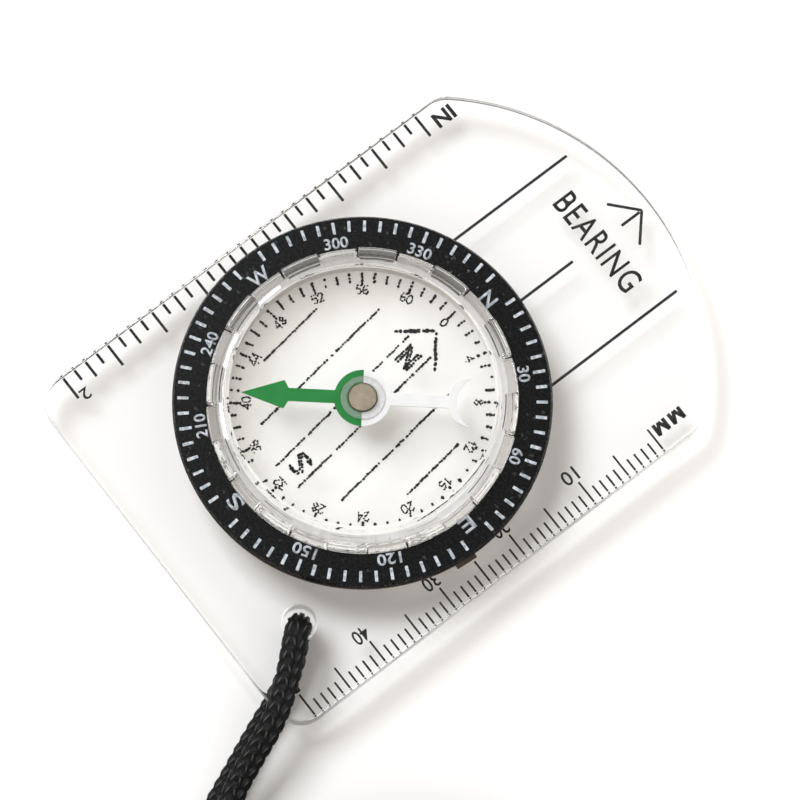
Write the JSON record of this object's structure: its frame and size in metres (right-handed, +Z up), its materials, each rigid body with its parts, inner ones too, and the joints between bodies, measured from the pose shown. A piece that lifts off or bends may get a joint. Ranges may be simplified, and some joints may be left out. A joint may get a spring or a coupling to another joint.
{
  "type": "baseplate compass",
  "caption": "Small clear baseplate compass with a turning black bezel, a capsule with a two-tone needle, ruler edges and a braided cord lanyard.",
  "frame": {"origin": "on the dial's turning axis, at the capsule's flat underside, the face the compass rests on", "axes": "+Z up through the dial, +Y the direction of travel, +X towards the millimetre scale"},
  "size_m": [0.1014, 0.0959, 0.0104],
  "materials": {
    "clear_acrylic": "polished clear acrylic",
    "clear_capsule": "polished clear moulded plastic",
    "clear_film": "clear film",
    "black_bezel": "fine satin black plastic",
    "bronze_washer": "dull brown spring bronze",
    "silicone": "translucent silicone",
    "steel_pin": "turned steel",
    "nickel_magnet": "dull nickel plate",
    "jewel": "polished bearing cup",
    "green_needle": "satin green paint",
    "white_needle": "white paint",
    "clear_needle": "clear moulded plastic",
    "black_cord": "glossy braided nylon"
  },
  "bodies": {
    "base": {"baseplate": "clear_acrylic", "friction_washer": "bronze_washer", "lanyard_front_strand": "black_cord", "lanyard_back_strand": "black_cord", "lanyard_tail": "black_cord", "lanyard_coil": "black_cord", "lanyard_knot": "black_cord"},
    "dial": {"bezel_ring": "black_bezel", "capsule_housing": "clear_capsule", "capsule_base": "clear_capsule", "capsule_seal": "silicone", "filler_plug": "clear_capsule", "dial_disc": "clear_film", "pivot_pin": "steel_pin"},
    "needle": {"needle_south_bar": "white_needle", "needle_north_arrow": "green_needle", "needle_collar": "clear_needle", "hub_magnet": "nickel_magnet", "jewel_bearing": "jewel"}
  },
  "joints": [
    {"name": "dial_rotation", "type": "hinge", "parent": "base", "child": "dial", "pos_m": [0, 0, 0.0045], "axis": [0, 0, 1], "continuous": true},
    {"name": "needle_swing", "type": "hinge", "parent": "dial", "child": "needle", "pos_m": [0, 0, 0.008], "axis": [0, 0, 1], "continuous": true}
  ]
}
